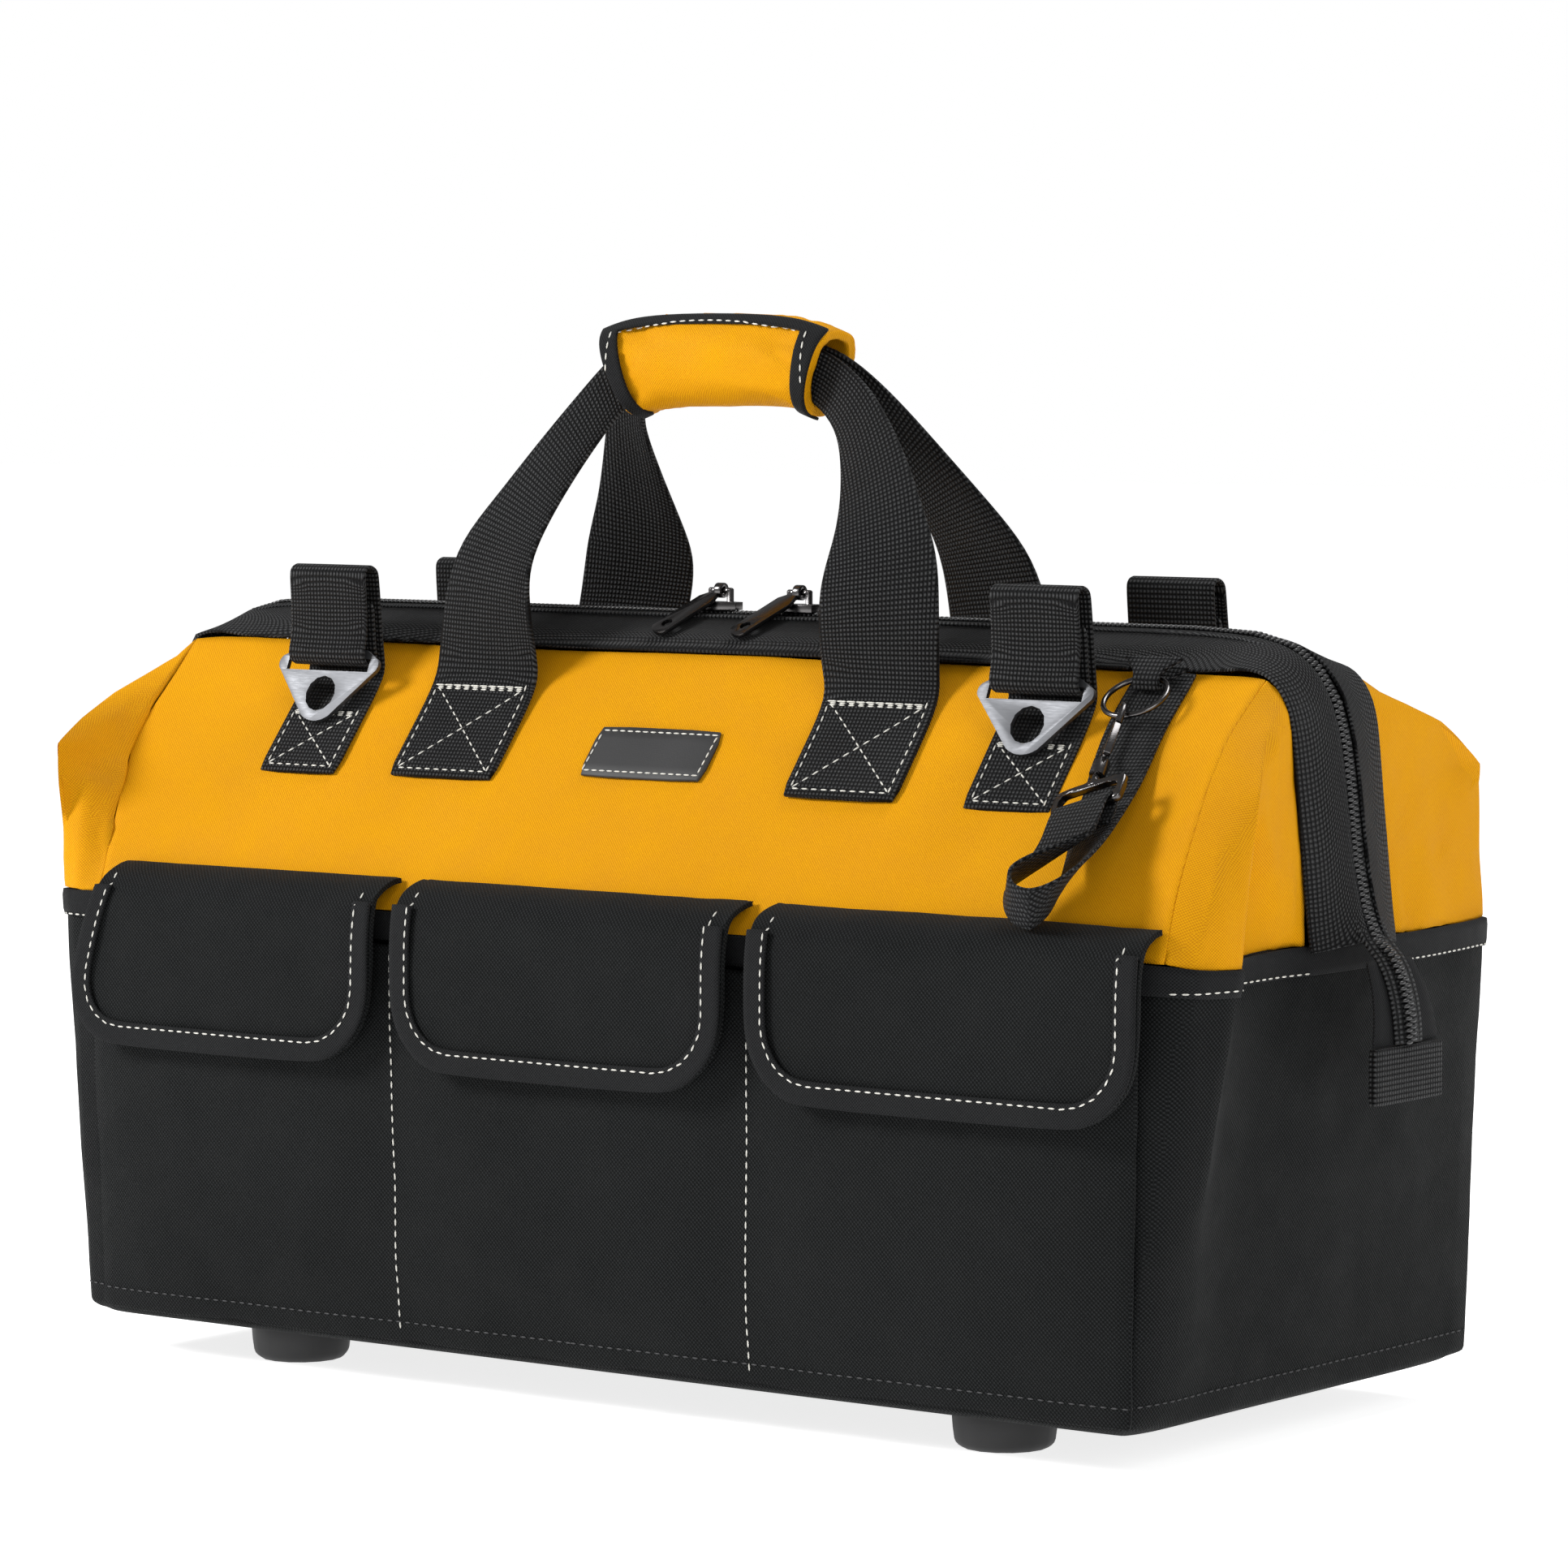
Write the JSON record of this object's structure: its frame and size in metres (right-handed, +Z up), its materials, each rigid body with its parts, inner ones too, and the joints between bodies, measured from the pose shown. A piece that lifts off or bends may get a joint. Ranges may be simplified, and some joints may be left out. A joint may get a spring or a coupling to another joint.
{
  "type": "zip-top tool bag",
  "caption": "Soft rectangular tool bag closed by a zip, with flapped front pockets, joined webbing handles, tool loops with hanger plates and a tape strap on a snap hook.",
  "frame": {"origin": "on the floor under the middle of the bag's bounding box", "axes": "+X along the bag, +Y from the pocket side to the plain back, +Z up"},
  "size_m": [0.5744, 0.2528, 0.4016],
  "materials": {
    "black": "matte woven polyester",
    "yellow": "matte woven polyester",
    "webbing": "ribbed woven webbing",
    "rubber": "matte",
    "steel": "satin",
    "gunmetal": "dark polished"
  },
  "bodies": {
    "bag": {"back_panel": "yellow", "base_panel": "black", "flap_binding_left": "webbing", "flap_binding_middle": "webbing", "flap_binding_right": "webbing", "foot_back_left": "rubber", "foot_back_right": "rubber", "foot_front_left": "rubber", "foot_front_right": "rubber", "front_panel": "yellow", "front_pockets": "black", "grip_binding": "webbing", "gusset_back_left": "yellow", "gusset_back_right": "yellow", "gusset_front_left": "yellow", "gusset_front_right": "yellow", "handle_grip": "yellow", "handle_strap_back": "webbing", "handle_strap_front": "webbing", "hook_eye": "gunmetal", "label_patch": "webbing", "mouth_band_back": "webbing", "mouth_band_front": "webbing", "pocket_flap_left": "black", "pocket_flap_middle": "black", "pocket_flap_right": "black", "rim_binding": "webbing", "ring_loop": "webbing", "snap_hook": "gunmetal", "strap_ring": "gunmetal", "tape_strap": "webbing", "tool_loop_back_left": "webbing", "tool_loop_back_right": "webbing", "tool_loop_front_left": "webbing", "tool_loop_front_right": "webbing", "tub_wall": "black", "zip_chain": "webbing", "zip_slider_left": "gunmetal", "zip_slider_right": "gunmetal", "zip_tab_left": "webbing", "zip_tab_right": "webbing", "zip_tail_left": "webbing", "zip_tail_right": "webbing"},
    "plate_front_left": {"loop_plate_front_left": "steel"},
    "plate_front_right": {"loop_plate_front_right": "steel"},
    "plate_back_left": {"loop_plate_back_left": "steel"},
    "plate_back_right": {"loop_plate_back_right": "steel"},
    "pull_left": {"zip_pull_left": "gunmetal"},
    "pull_right": {"zip_pull_right": "gunmetal"},
    "gate": {"snap_gate": "gunmetal"}
  },
  "joints": [
    {"name": "plate_front_left_swing", "type": "hinge", "parent": "bag", "child": "plate_front_left", "pos_m": [-0.17058, -0.03745, 0.27], "axis": [-1, 0, 0], "range_deg": [0, 110]},
    {"name": "plate_front_right_swing", "type": "hinge", "parent": "bag", "child": "plate_front_right", "pos_m": [0.16042, -0.03745, 0.27], "axis": [-1, 0, 0], "range_deg": [0, 110]},
    {"name": "plate_back_left_swing", "type": "hinge", "parent": "bag", "child": "plate_back_left", "pos_m": [-0.17058, 0.05795, 0.27], "axis": [1, 0, 0], "range_deg": [0, 110]},
    {"name": "plate_back_right_swing", "type": "hinge", "parent": "bag", "child": "plate_back_right", "pos_m": [0.16042, 0.05795, 0.27], "axis": [1, 0, 0], "range_deg": [0, 110]},
    {"name": "pull_left_flip", "type": "hinge", "parent": "bag", "child": "pull_left", "pos_m": [-0.01811, 0.01025, 0.2968], "axis": [-1, 0, 0], "range_deg": [0, 240]},
    {"name": "pull_right_flip", "type": "hinge", "parent": "bag", "child": "pull_right", "pos_m": [0.01889, 0.01025, 0.2968], "axis": [-1, 0, 0], "range_deg": [0, 240]},
    {"name": "gate_swing", "type": "hinge", "parent": "bag", "child": "gate", "pos_m": [0.20794, -0.06546, 0.24777], "axis": [-0.7375, -0.5404, 0.4051], "range_deg": [0, 17], "stiffness_Nm_per_rad": 0.02}
  ]
}
